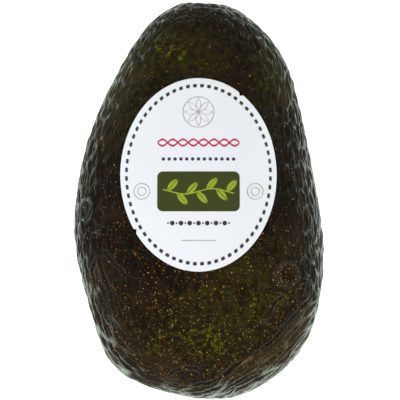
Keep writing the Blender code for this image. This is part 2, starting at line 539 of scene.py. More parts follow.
@dataclass(frozen=True)
class Guide:
    """A smooth curve on the fruit, through a few points in view millimetres."""

    route: tuple[Pair, ...]
    steps: int = 24

    def samples(self) -> Array:
        """Points along the cubic through the route, with its neighbours' chords as tangents.

        Between knots p and q with tangents a and b, a share s gives the point
        (2s³-3s²+1) p + (s³-2s²+s) a + (3s²-2s³) q + (s³-s²) b.

        Returns:
            Places in view millimetres, one row each.
        """
        knots = np.array(self.route)
        tangents = np.gradient(knots, axis=0)
        share = np.linspace(0.0, 1.0, self.steps)[:, None]
        pieces = [
            (2 * share**3 - 3 * share**2 + 1) * knots[i] + (share**3 - 2 * share**2 + share) * tangents[i]
            + (3 * share**2 - 2 * share**3) * knots[i + 1] + (share**3 - share**2) * tangents[i + 1]
            for i in range(len(knots) - 1)
        ]
        return np.vstack(pieces)

    @property
    def length(self) -> float:
        """Length of the curve in view millimetres."""
        return float(np.linalg.norm(np.diff(self.samples(), axis=0), axis=1).sum())

    def frame(self, seen: Array) -> tuple[Array, Array]:
        """Where places are from the curve: how far across it, and how far along it.

        Args:
            seen: places in view millimetres, one row each.

        Returns:
            Millimetres to the left of the curve's run, below zero to the right, and millimetres along it.
        """
        samples = self.samples()
        headings = unit(np.gradient(samples, axis=0))
        covered = np.concatenate(([0.0], np.cumsum(np.linalg.norm(np.diff(samples, axis=0), axis=1))))
        nearest = np.full(len(seen), np.inf)
        across = np.zeros(len(seen))
        along = np.zeros(len(seen))
        for sample, heading, run in zip(samples, headings, covered):
            away = seen - sample
            reach = np.hypot(away[:, 0], away[:, 1])
            closer = reach < nearest
            side = np.where(heading[0] * away[:, 1] < heading[1] * away[:, 0], -1.0, 1.0)
            nearest = np.where(closer, reach, nearest)
            across = np.where(closer, reach * side, across)
            along = np.where(closer, run + away @ heading, along)
        return across, along


@dataclass(frozen=True)
class Crease:
    """A crease of the skin: a narrow valley along a guide, with a raised lip on each side.

    Sizes are in millimetres. The lips' place and width are shares of the valley's width.
    """

    guide: Guide
    width: float
    depth: float
    lip: float
    taper: Pair = (-0.3, 2.5)
    lip_place: float = 1.9
    lip_width: float = 0.7

    def fold(self, seen: Array) -> tuple[Array, Array, Array]:
        """The valley exp(-r²), and a lip exp(-((r - place)/width)²) on each side of it.

        r is the distance from the guide over the crease's width. Both fade out towards its two ends.

        Args:
            seen: places in view millimetres, one row each.

        Returns:
            Height in millimetres, one along the lips' tops, and one along the valley's bottom.
        """
        across, along = self.guide.frame(seen)
        fade = smooth_step(*self.taper, along) * smooth_step(*self.taper, self.guide.length - along)
        away = np.abs(across) / self.width
        valley = fade * np.exp(-(away**2))
        lips = fade * np.exp(-(((away - self.lip_place) / self.lip_width) ** 2))
        return self.lip * lips - self.depth * valley, lips, valley


@dataclass(frozen=True)
class Spot:
    """An oval place on the fruit: its centre and its radii in view millimetres, and a strength."""

    right: float
    up: float
    wide: float
    high: float
    strength: float

    def reach(self, seen: Array) -> Array:
        """Distance from the centre as a share of the oval's radius."""
        return np.hypot((seen[:, 0] - self.right) / self.wide, (seen[:, 1] - self.up) / self.high)

    def blob(self, seen: Array) -> Array:
        """A soft blob: strength times exp(-reach²)."""
        return self.strength * np.exp(-(self.reach(seen) ** 2))


@dataclass(frozen=True)
class Ring(Spot):
    """A raised ring on the skin, as high in millimetres as its strength, with a dark line round it.

    Places and widths are shares of the oval's radius, and the dip is a share of the height.
    """

    full_height: float = 0.4
    crest_width: float = 0.22
    dip_reach: float = 0.7
    dip_share: float = 0.5
    line_place: float = 1.3
    line_width: float = 0.16

    def fold(self, seen: Array) -> tuple[Array, Array, Array]:
        """The crest exp(-((r - 1)/width)²) with a dip exp(-(r/dip reach)⁴) inside it.

        r is the reach. A line exp(-((r - place)/width)²) runs round the crest. Both are fainter on a
        ring under its full height.

        Args:
            seen: places in view millimetres, one row each.

        Returns:
            Height in millimetres, one along the crest, and one along the line outside it.
        """
        reach = self.reach(seen)
        crest = np.exp(-(((reach - 1.0) / self.crest_width) ** 2))
        line = np.exp(-(((reach - self.line_place) / self.line_width) ** 2))
        dip = np.exp(-((reach / self.dip_reach) ** 4))
        shown = min(self.strength / self.full_height, 1.0)
        return self.strength * (crest - self.dip_share * dip), shown * crest, shown * line


def spots(*rows: tuple[float, float, float, float, float]) -> tuple[Spot, ...]:
    """Spots from rows of place right and up, radius across and along, and strength."""
    return tuple(Spot(*row) for row in rows)


def blobs(places: tuple[Spot, ...], seen: Array) -> Array:
    """The soft blobs of several spots added up, at places in view millimetres."""
    return sum(spot.blob(seen) for spot in places)


@dataclass(frozen=True)
class SkinMarks:
    """What this one fruit's skin shows in places that can be pointed at, in view millimetres."""

    creases: tuple[Crease, ...] = (
        Crease(Guide(((-8.8, 48.8), (-5.4, 50.7), (-1.6, 51.1), (1.5, 51.1), (4.4, 52.2))), 0.26, 0.20, 0.24),
        Crease(Guide((
            (31.6, -20.9), (26.8, -23.5), (22.9, -26.3), (20.5, -29.3), (18.8, -32.3), (16.6, -36.5),
        )), 0.28, 0.30, 0.40),
        Crease(Guide(((-10.0, -48.4), (-4.1, -46.4), (1.4, -47.5))), 0.26, 0.12, 0.26),
        Crease(Guide(((-28.5, -14.4), (-26.2, -15.0), (-22.9, -18.6), (-20.8, -21.6))), 0.3, 0.15, 0.25),
        Crease(Guide(((-28.5, -14.4), (-27.3, -19.5), (-25.6, -25.0))), 0.3, 0.15, 0.25),
        Crease(Guide(((-28.5, -14.4), (-29.6, -19.0), (-28.6, -24.5))), 0.3, 0.15, 0.25),
    )
    long_crease: Crease = Crease(Guide((
        (31.5, -26.0), (26.0, -32.6), (19.6, -39.8), (15.8, -43.1), (9.9, -46.4), (1.8, -50.8), (-7.0, -52.0),
    )), 0.30, 0.34, 0.25)
    rim: Guide = Guide((
        (-33.0, -12.0), (-32.4, -20.7), (-30.6, -29.0), (-27.6, -37.3), (-23.8, -43.4), (-17.5, -48.9),
        (-9.5, -51.9), (-0.5, -53.6),
    ))
    rings: tuple[Ring, ...] = (
        Ring(24.3, -20.7, 3.1, 3.6, 0.24),
        Ring(-31.5, -2.8, 1.6, 3.4, 0.40),
        Ring(-28.0, -4.6, 1.3, 2.9, 0.16),
        Ring(-32.6, -7.7, 1.1, 2.3, 0.25),
    )
    dent: Spot = Spot(7.2, 54.4, 4.2, 3.0, 0.40)
    green: tuple[Spot, ...] = spots(
        (2.0, -36.5, 19.0, 11.0, 0.70), (14.5, -23.5, 6.5, 7.5, 0.55), (17.0, -31.0, 3.5, 4.5, 0.45),
        (13.0, -15.5, 3.0, 3.0, 0.60), (4.0, -24.5, 3.5, 3.0, 0.45), (-11.5, -34.0, 5.0, 5.5, 0.35),
        (-13.0, -41.5, 4.0, 3.5, 0.60), (2.5, -38.5, 3.5, 3.0, 0.45), (7.5, -42.5, 4.5, 3.0, 0.45),
        (-2.8, -38.5, 3.0, 3.0, 0.35), (22.8, -28.0, 2.3, 2.6, 1.00), (-10.5, 42.0, 8.0, 7.5, 0.90),
        (-5.2, 40.0, 4.0, 4.0, 0.35), (27.0, -25.2, 4.0, 1.6, 0.80), (18.0, 34.0, 4.0, 8.0, 0.75),
        (5.0, 38.0, 4.0, 5.0, 0.35), (-24.0, -15.0, 2.5, 2.5, 0.90),
    )
    olive: tuple[Spot, ...] = spots(
        (4.0, -36.0, 22.0, 16.0, 1.0), (-5.0, 41.0, 16.0, 12.0, 1.0), (11.0, -24.0, 11.0, 9.0, 0.8),
        (20.0, 32.0, 7.0, 16.0, 0.8), (22.0, -12.0, 6.0, 8.0, 0.4), (-24.0, 32.0, 8.0, 17.0, 0.9),
    )
    speckled: tuple[Spot, ...] = spots(
        (24.3, -20.7, 2.6, 3.0, 0.55), (-17.0, -31.0, 7.0, 8.0, 0.20), (4.0, -20.5, 19.0, 7.0, -0.35),
        (18.0, -36.0, 4.0, 4.0, 0.25),
    )
    faint_net: tuple[Spot, ...] = spots((-15.5, -49.8, 8.0, 3.2, 0.45))
    waxed: tuple[Spot, ...] = spots(
        (-30.5, -27.5, 3.5, 6.0, -0.28), (-25.0, -38.5, 3.0, 4.5, 0.40), (-21.8, -45.0, 3.2, 3.5, 0.35),
        (-16.5, -52.0, 6.5, 3.0, -0.90),
    )

    def folds(self, seen: Array) -> tuple[Array, Array, Array]:
        """The creases and rings together.

        Args:
            seen: places in view millimetres, one row each.

        Returns:
            Their height in metres, one along the crests, and one along the valleys' bottoms.
        """
        marks = (*self.rings, *self.creases, self.long_crease)
        heights, crests, valleys = zip(*(mark.fold(seen) for mark in marks))
        return sum(heights) * MM, np.max(crests, axis=0), np.max(valleys, axis=0)


@dataclass(frozen=True)
class PebbledSkin:
    """The whole skin of the fruit: one closed grid from the stem end to the blossom end.

    Each range, and each pair in millimetres, says where a share starts and where it is full. The
    chart's two pairs are in the sine of the angle from +Y and in the cosine of the turn from the top.
    """

    form: FruitForm
    outline: LabelOutline
    pebbles: MainPebbles
    marks: SkinMarks
    rows: int = 264
    columns: int = 372
    level: float = -0.55 * MM
    main_height: float = 0.36 * MM
    lump_height: float = 0.19 * MM
    lump_width: float = 0.75 * MM
    lump_spacing_mm: tuple[float, float, float] = (2.6, 3.6, 2.6)
    lump_least: float = 0.45
    patch_spacing: float = 11.0 * MM
    patch_range: Pair = (-0.4, 0.5)
    swell_height: float = 0.20 * MM
    swell_spacing: float = 14.0 * MM
    warp_spacing: float = 4.0 * MM
    warp_of_lumps: float = 0.5 * MM
    warp_of_folds_mm: float = 0.6
    smoother_ends: float = 0.5
    blossom_fill: float = 0.15 * MM
    fill_range: Pair = (-0.6, -0.95)
    hollow_steepness: float = 6.0
    hollow_cork: float = 0.7
    scar_radius: float = 2.4 * MM
    scar_steepness: float = 2.0
    scar_depth: float = 0.9 * MM
    pressed_share: float = 0.85
    pressed_in: float = 0.12 * MM
    press_range: Pair = (1.0, 1.15)
    upper_range: Pair = (0.0, 0.25)
    chart_sine: Pair = (0.25, 0.5)
    chart_cosine: Pair = (-0.97, -0.8)
    cloud_spacing: float = 20.0 * MM
    cloud_range: Pair = (0.1, 0.9)
    cloud_green: float = 0.9
    wrinkle_reach_mm: float = 9.5
    wrinkle_start_mm: Pair = (0.6, 1.6)
    rim_low_mm: Pair = (-13.0, -20.0)
    rim_left_mm: Pair = (0.0, -8.0)
    rim_pattern_shift_mm: float = 40.0
    rim_dryness: float = 0.4
    dry_from_mm: Pair = (-51.0, -43.0)
    torn_from_mm: Pair = (10.0, 14.0)
    speck_least: float = 0.15
    speck_fade_mm: Pair = (24.0, -18.0)

    def directions(self) -> Array:
        """Unit directions of the grid.

        Returns:
            A pole, rings evenly spaced along the outline, and a pole, one row each.
        """
        fine = np.linspace(0.0, math.pi, self.form.fine_steps)
        covered = self.form.arc_length(fine)
        spaced = covered[-1] * np.arange(1, self.rows + 1) / (self.rows + 1)
        polar = np.interp(spaced, covered, fine)[:, None]
        turn = np.arange(self.columns) * TURN / self.columns
        rings = (np.sin(polar) * np.cos(turn), np.cos(polar) + 0.0 * turn, np.sin(polar) * np.sin(turn))
        return np.vstack(((0.0, 1.0, 0.0), np.stack(rings, axis=-1).reshape(-1, 3), (0.0, -1.0, 0.0)))

    def chart(self, directions: Array) -> dict[str, Array]:
        """The skin laid out flat, for the net of ridges.

        The turn from the top, times the mean of the girth there and the widest girth, is the way
        round, and the outline's arc length is the way along. The layout is torn along the underside
        and closes up at both ends, so its share fades out there.

        Args:
            directions: unit vectors of the grid.

        Returns:
            Attributes: millimetres round and along, and the share that the layout has.
        """
        polar = np.arccos(np.clip(directions[:, 1], -1.0, 1.0))
        turn = np.arctan2(directions[:, 0], directions[:, 2])
        girth = self.form.girth(polar)
        return {
            "around_mm": turn * 0.5 * (girth + girth.max()) / MM,
            "arc_mm": self.form.arc_length(polar) / MM,
            "charted": smooth_step(*self.chart_sine, np.sin(polar))
            * smooth_step(*self.chart_cosine, np.cos(turn)),
        }

    def relief(self, directions: Array, body: Array, warp: Array, folds: Array) -> Array:
        """How far the skin stands off the body.

        It is the level, the folds, a fill towards the blossom end, and, half as high at the very ends,
        the pebbles, small lumps 1 - exp(-(distance to a cell's border / width)²) that come in patches,
        and a broad swell. The rim has a dent, and under the label all is pressed flat.

        Args:
            directions: unit vectors of the grid.
            body: points of the body.
            warp: random shifts that bend the lumps' cells, from -1 to 1.
            folds: height of this fruit's own creases and rings.

        Returns:
            Metres outwards from each point.
        """
        spacing = np.array(self.lump_spacing_mm) * MM
        border = CellNoise(Seed.LUMPS).edge_distance(body + self.warp_of_lumps * warp, spacing)
        lumps = 1.0 - np.exp(-((border / self.lump_width) ** 2))
        patches = CloudNoise(Seed.LUMP_PATCHES).cloud(body, self.patch_spacing, 2)
        patches = smooth_step(*self.patch_range, patches)
        lumps = lumps * (self.lump_least + (1.0 - self.lump_least) * patches)
        swell = CloudNoise(Seed.SWELL).cloud(body, self.swell_spacing, 2)
        pebbled = self.main_height * self.pebbles.domes(directions) + self.lump_height * lumps
        pebbled = pebbled + self.swell_height * swell
        ends = 1.0 - self.smoother_ends * np.abs(directions[:, 1]) ** 6
        relief = self.level + ends * pebbled + folds
        relief += self.blossom_fill * smooth_step(*self.fill_range, directions[:, 1])
        relief -= self.marks.dent.blob(seen_from_above(body) / MM) * MM
        pressed = self.pressed_share * (1.0 - smooth_step(*self.press_range, self.outline.reach(body)))
        pressed = pressed * (body[:, 2] > self.form.axis_height)
        return relief * (1.0 - pressed) - self.pressed_in * pressed

    def wrinkles(self, seen: Array) -> dict[str, Array]:
        """The zones where long wrinkles take the place of the net.

        Beyond the long crease the wrinkles run with it, and along the lower left they run with the
        fruit's rim. The skin is dry beyond the crease, save at its lowest end, and less so by the rim.

        Args:
            seen: places in view millimetres, one row each.

        Returns:
            Attributes: millimetres across and along the wrinkles, their share, and how dry they are.
        """
        right, up = seen.T
        crease, along_crease = self.marks.long_crease.guide.frame(seen)
        rim, along_rim = self.marks.rim.frame(seen)
        by_crease = np.exp(-((crease / self.wrinkle_reach_mm) ** 4))
        by_crease = by_crease * smooth_step(*self.wrinkle_start_mm, crease)
        by_rim = np.exp(-((rim / self.wrinkle_reach_mm) ** 4))
        by_rim = by_rim * smooth_step(*self.rim_low_mm, up) * smooth_step(*self.rim_left_mm, right)
        nearer_crease = by_crease > by_rim
        return {
            "across_mm": np.where(nearer_crease, crease, rim + self.rim_pattern_shift_mm),
            "along_mm": np.where(nearer_crease, along_crease, along_rim),
            "streaks": np.abs(by_crease - by_rim),
            "dry": by_crease * smooth_step(*self.dry_from_mm, up) + self.rim_dryness * by_rim,
        }

    def speck_density(self, body: Array, seen: Array, dry: Array) -> Array:
        """Share of the cork specks that show.

        It falls from one to the least share towards the stem end, and by a loss of its own at the upper
        right, at the rims, at the left and on dry skin. The speckled spots come on top.

        Args:
            body: points of the body.
            seen: the same places in view millimetres.
            dry: how dry the skin is.

        Returns:
            The share at each point.
        """
        right, up = seen.T
        fade = smooth_step(*self.speck_fade_mm, body[:, 1] / MM)
        density = self.speck_least + (1.0 - self.speck_least) * fade
        for place, loss in (
            (smooth_step(8.0, 22.0, right) * smooth_step(-20.0, -5.0, up), 0.55),
            (smooth_step(21.0, 30.0, np.abs(right)), 0.50),
            (smooth_step(-8.0, -20.0, right), 0.30),
            (dry, 0.35),
        ):
            density *= 1.0 - loss * place
        return density + blobs(self.marks.speckled, seen)

    def build(self, material: bpy.types.Material) -> bpy.types.Object:
        """Raises the relief on the body, stores what the material reads, and adds the piece.

        The hollow at the stem end and the scar at the blossom end move points in along Y, and no point
        goes below the floor. Marks seen from above stay on the upper half.

        Args:
            material: the skin's finish.

        Returns:
            The piece.
        """
        marks = self.marks
        directions = self.directions()
        body = self.form.points(directions)
        seen = seen_from_above(body) / MM
        upper = smooth_step(*self.upper_range, directions[:, 2])
        warp = np.column_stack([
            CloudNoise(Seed.WARP + axis).cloud(body, self.warp_spacing, 2) for axis in range(3)
        ])
        bent = seen + self.warp_of_folds_mm * warp[:, :2]
        height, folds, valley = marks.folds(bent)
        hollow = self.form.pit(body, End.STEM, HOLLOW_RADIUS, self.hollow_steepness)
        scar = self.form.pit(body, End.BLOSSOM, self.scar_radius, self.scar_steepness)
        relief = self.relief(directions, body, warp, height * upper)
        points = body + self.form.outward(directions) * relief[:, None]
        points[:, 1] += self.scar_depth * scar - HOLLOW_DEPTH * hollow
        points[:, 2] = np.maximum(points[:, 2], 0.0)
        clouds = CloudNoise(Seed.GREEN_CLOUDS).cloud(body, self.cloud_spacing, 3)
        clouds = smooth_step(*self.cloud_range, clouds) * (1.0 - upper)
        crease, run = marks.long_crease.guide.frame(bent)
        zones = self.wrinkles(seen)
        above = {
            # The crests take the peel's painted highlight
            "folds": folds,
            # Crease bottoms, lines round the rings and the faint net's patch take the peel's painted shade
            "valley": np.maximum(valley, blobs(marks.faint_net, seen)),
            "dry": zones["dry"],
            "streaks": zones["streaks"],
            "waxed": blobs(marks.waxed, seen),
            "torn": smooth_step(*self.torn_from_mm, run),
        }
        whole = {
            "green": np.clip(blobs(marks.green, seen) * upper + self.cloud_green * clouds, 0.0, 1.0),
            "olive": np.clip(blobs(marks.olive, seen) * upper + clouds, 0.0, 1.0),
            "tan": self.hollow_cork * hollow,
            "specks": self.speck_density(body, seen, zones["dry"]),
            "crease_mm": crease,
        }
        above = {name: share * upper for name, share in above.items()}
        stored = zones | self.chart(directions) | above | whole
        return add_piece("avocado_skin", "avocado_fruit", points, self.columns, stored, material)


@dataclass(frozen=True)
class StalkButton:
    """The dry button that is left of the stalk, turned about the hollow's axis.

    The profile gives shares of the radius and of the height, from the top's middle over the edge and
    the waist down to the base. Each wave of the edge has a count, a depth and a start. In the solids
    the hollow's floor lies a pebble's height deeper than the hollow itself.
    """

    form: FruitForm
    radius: float = 3.3 * MM
    height: float = 2.2 * MM
    profile: tuple[Pair, ...] = (
        (0.20, 0.74), (0.40, 0.78), (0.60, 0.86), (0.76, 0.95), (0.88, 1.00), (0.96, 0.97), (1.00, 0.86),
        (1.00, 0.72), (0.95, 0.56), (0.87, 0.40), (0.83, 0.26), (0.82, 0.12), (0.82, 0.0), (0.4, 0.0),
    )
    middle_height: float = 0.72
    edge_waves: tuple[tuple[int, float, float], ...] = ((3, 0.015, 0.6), (7, 0.012, 0.0), (13, 0.01, 2.0))
    crack_spacing: float = 0.7 * MM
    crack_depth: float = 0.16 * MM
    crack_stretch: float = 0.3
    cracked_from: float = 0.3
    pebble_height: float = 0.95 * MM
    gap: float = 0.3 * MM
    rings: int = 40
    sectors: int = 96

    def build(self, material: bpy.types.Material) -> bpy.types.Object:
        """Turns the profile about +Y, with radial cracks in its top and an uneven edge.

        It stands a gap clear of the hollow's floor.

        Args:
            material: the stalk's finish.

        Returns:
            The piece.
        """
        share = np.linspace(0.0, 1.0, self.rings)
        knots = np.linspace(0.0, 1.0, len(self.profile))
        radius, height = (np.interp(share, knots, values)[:, None] for values in zip(*self.profile))
        turn = np.arange(self.sectors) * TURN / self.sectors
        edge = 1.0 + sum(depth * np.sin(count * turn + start) for count, depth, start in self.edge_waves)
        ring = radius * self.radius * edge
        up = height * self.height + 0.0 * turn
        rings = np.stack((ring * np.cos(turn), up, ring * np.sin(turn)), axis=-1).reshape(-1, 3)
        squeezed = rings * (1.0, self.crack_stretch, 1.0)
        cracks = CloudNoise(Seed.WOOD_CRACKS).cloud(squeezed, self.crack_spacing, 3)
        rings[:, 1] += self.crack_depth * cracks * (rings[:, 1] > self.cracked_from * self.height)
        local = np.vstack(((0.0, self.middle_height * self.height, 0.0), rings, (0.0, 0.0, 0.0)))
        points = local + self.form.pole(End.STEM)
        points[:, 1] += self.gap - HOLLOW_DEPTH - self.pebble_height
        return add_piece("stem_button_wood", "stem_button", points, self.sectors, {}, material)


class Ink(Enum):
    """The printing inks of the label, with their colours."""

    HAIRLINE = "#a3a48f"
    BLACK = "#2a2c30"
    OLIVE = "#39400f"
    LIME = "#9caf2a"
    CARMINE = "#bd1846"


@dataclass(frozen=True)
class LabelPrint:
    """A made-up pattern for the label, as signed distances in millimetres that are below zero inside.

    Places are complex numbers: millimetres right of a middle, plus i times the millimetres up from it.
    Unless a method says otherwise, that is the label's own middle. A half is half of a size, a twig
    wave is its height and its turn for each millimetre, and the leaves run from a place to a place.
    """

    half_width: float = 20.8
    half_length: float = 25.8
    border_reach: float = 0.92
    border_half: float = 0.42
    dashes: int = 64
    dash_share: float = 0.27
    dash_pitch: float = 2.1
    rosette: complex = 16.6j
    petals: int = 8
    petal_middle: float = 1.95
    petal_half: Pair = (1.75, 0.62)
    petal_line: float = 0.10
    circles: tuple[tuple[complex, float], ...] = (
        (16.6j, 4.1), (-15.0 - 4.6j, 2.1), (-15.0 - 4.6j, 1.1), (15.0 - 4.6j, 2.1), (15.0 - 4.6j, 1.1),
    )
    circle_line: float = 0.13
    hairline: complex = -17.6j
    hairline_half: Pair = (4.6, 0.14)
    hairline_corner: float = 0.1
    braid_up: float = 8.4
    braid_height: float = 0.85
    braid_turns: float = 1.15
    braid_slope: float = 1.4
    braid_line: float = 0.20
    panel_middle: complex = -4.6j
    panel_half: Pair = (10.9, 5.3)
    panel_corner: float = 1.5
    twig_half: Pair = (9.4, 0.16)
    twig_wave: Pair = (0.7, 0.42)
    leaves: tuple[float, float, int] = (-8.2, 7.4, 7)
    leaf_angle: float = math.radians(48.0)
    leaf_middle: float = 2.0
    leaf_half: Pair = (2.15, 0.85)
    leaf_rib: float = 0.10
    dots: tuple[tuple[complex, int, float, float], ...] = (
        (4.0j, 13, 1.55, 0.46), (-13.0j, 7, 2.3, 0.62), (-13.0j, 8, 2.3, 0.26),
    )

    @staticmethod
    def rounded_box(places: Array, half: Pair, corner: float) -> Array:
        """A box with round corners: |max(q, 0)| + min(max(qx, qy), 0) - r, with q = |p| - half + r.

        Args:
            places: places from the box's middle.
            half: half of its width and of its height.
            corner: radius r of its corners.

        Returns:
            Its distance field.
        """
        across = np.abs(places.real) - half[0] + corner
        up = np.abs(places.imag) - half[1] + corner
        outside = np.hypot(np.maximum(across, 0.0), np.maximum(up, 0.0))
        return outside + np.minimum(np.maximum(across, up), 0.0) - corner

    @staticmethod
    def leaf(places: Array, half: Pair) -> Array:
        """A leaf of half sizes l and w along the real axis: two circles of radius (l² + w²) / 2w."""
        radius = (half[0] ** 2 + half[1] ** 2) / (2.0 * half[1])
        return np.hypot(places.real, np.abs(places.imag) + radius - half[1]) - radius

    def twig(self, places: Array) -> Array:
        """A waving twig with leaves on both sides of it: the least of its parts' distances.

        Args:
            places: places from the panel's middle.

        Returns:
            Its distance field.
        """
        height, turns = self.twig_wave
        away = np.abs(places.imag - height * np.sin(turns * places.real))
        nearest = np.maximum(away - self.twig_half[1], np.abs(places.real) - self.twig_half[0])
        for number, start in enumerate(np.linspace(*self.leaves)):
            heading = np.exp(1j * self.leaf_angle * (-1.0) ** number)
            root = start + 1j * height * math.sin(turns * start)
            turned = (places - root) / heading - self.leaf_middle
            blade = np.maximum(self.leaf(turned, self.leaf_half), self.leaf_rib - np.abs(turned.imag))
            nearest = np.minimum(nearest, blade)
        return nearest

    def border(self, places: Array) -> Array:
        """Short dashes along an oval inside the edge: a ring cut by gaps that repeat.

        Args:
            places: places on the label.

        Returns:
            Its distance field.
        """
        oval = places.real / self.half_width + 1j * places.imag / self.half_length
        ring = np.abs(np.abs(oval) - self.border_reach) * 0.5 * (self.half_width + self.half_length)
        along = np.abs((np.angle(oval) * self.dashes / TURN) % 1.0 - 0.5)
        return np.maximum(ring - self.border_half, (along - self.dash_share) * self.dash_pitch)

    def row(self, places: Array, count: int, pitch: float, radius: float) -> Array:
        """A row of dots: the distance to the nearest of evenly spaced points, less their radius.

        Args:
            places: places from the row's middle.
            count: number of dots.
            pitch: how far apart they are.
            radius: their radius.

        Returns:
            Its distance field.
        """
        limit = 0.5 * (count - 1)
        nearest = np.round(places.real / pitch - limit % 1.0) + limit % 1.0
        return np.abs(places - np.clip(nearest, -limit, limit) * pitch) - radius

    def inks(self, places: Array) -> dict[Ink, Array]:
        """The distance field of every ink.

        Args:
            places: places on the label.

        Returns:
            The field of each ink.
        """
        rounds = [np.abs(places - middle) - radius for middle, radius in self.circles]
        thin = [np.abs(circle) - self.circle_line for circle in rounds]
        thin.append(self.rounded_box(places - self.hairline, self.hairline_half, self.hairline_corner))
        for petal in range(self.petals):
            turned = (places - self.rosette) * np.exp(-1j * TURN * petal / self.petals) - self.petal_middle
            thin.append(np.abs(self.leaf(turned, self.petal_half)) - self.petal_line)
        black = [self.row(places - middle, *measures) for middle, *measures in self.dots]
        wave = self.braid_height * np.sin(self.braid_turns * places.real)
        strands = [np.abs(places.imag - self.braid_up - strand) for strand in (wave, -wave)]
        braid = np.minimum(*strands) / self.braid_slope - self.braid_line
        panel = places - self.panel_middle
        return {
            Ink.HAIRLINE: np.minimum.reduce(thin),
            Ink.BLACK: np.minimum.reduce([self.border(places), *black]),
            Ink.OLIVE: self.rounded_box(panel, self.panel_half, self.panel_corner),
            Ink.LIME: self.twig(panel),
            Ink.CARMINE: np.maximum(braid, np.abs(places.real) - self.panel_half[0]),
        }


@dataclass(frozen=True)
class PaperLabel:
    """The oval label: a thin closed sheet over the crests of the skin."""

    form: FruitForm
    outline: LabelOutline
    pattern: LabelPrint
    upper_rings: int = 100
    under_rings: int = 14
    sectors: int = 480
    lift: float = 0.10 * MM
    thickness: float = 0.20 * MM
    wave_height: float = 0.05 * MM
    wave_spacing: float = 9.0 * MM
    nicks_deg: Pair = (57.0, 216.0)
    nick_depth: float = 0.030
    nick_width_deg: float = 1.0
    nick_steepness: int = 12

    def sheet(self, rings: int) -> tuple[Array, Array]:
        """One side of the sheet on the body, from its middle to its edge.

        A point at share s of the way to the edge and turn t is at plan position
        centre + s e (half width cos t, half length sin t), where e is one less a narrow notch at each
        nick that fades towards the middle. The turns run clockwise, so that faces point up.

        Args:
            rings: number of rings of points.

        Returns:
            Unit directions of the points, and their plan position from the label's middle in metres, as
            complex numbers.
        """
        turn = -np.arange(self.sectors) * TURN / self.sectors
        away = [np.degrees(np.angle(np.exp(1j * (turn - math.radians(nick))))) for nick in self.nicks_deg]
        notch = self.nick_depth * sum(np.exp(-((angle / self.nick_width_deg) ** 2)) for angle in away)
        share = (np.arange(1, rings + 1) / rings)[:, None]
        reach = share * (1.0 - notch * share**self.nick_steepness)
        across = np.append(0.0, 0.5 * self.outline.width * reach * np.cos(turn))
        along = np.append(0.0, 0.5 * self.outline.length * reach * np.sin(turn))
        centre = (across + self.outline.centre_x, along + self.outline.centre_y)
        return self.form.upper_directions(*centre), across + 1j * along

    def lifted(self, directions: Array, height: float) -> Array:
        """Points that height above the body, with a slow waviness.

        Args:
            directions: unit directions of the points.
            height: metres above the smooth body.

        Returns:
            Positions, one row each.
        """
        body = self.form.points(directions)
        wave = self.wave_height * CloudNoise(Seed.PAPER_WAVES).cloud(body, self.wave_spacing, 2)
        return body + self.form.outward(directions) * (height + wave)[:, None]

    def build(self, material: bpy.types.Material) -> bpy.types.Object:
        """Joins the sheet's upper side and its under side round the edge, and prints the upper side.

        The under side runs from its edge back to its middle. A whole millimetre more on its distances
        keeps the inks off it.

        Args:
            material: the paper's finish.

        Returns:
            The piece.
        """
        upper_directions, upper_flat = self.sheet(self.upper_rings)
        under_directions, under_flat = self.sheet(self.under_rings)
        numbers = 1 + np.arange(self.under_rings * self.sectors).reshape(self.under_rings, -1)
        inwards = np.append(numbers[::-1], 0)
        upper = self.lifted(upper_directions, self.lift + self.thickness)
        under = self.lifted(under_directions, self.lift)[inwards]
        blank = np.concatenate((np.zeros(len(upper)), np.ones(len(under))))
        fields = self.pattern.inks(np.concatenate((upper_flat, under_flat[inwards])) / MM)
        inks = {ink.name.lower(): distance + blank for ink, distance in fields.items()}
        points = np.vstack((upper, under))
        return add_piece("oval_label_paper", "oval_label", points, self.sectors, inks, material)


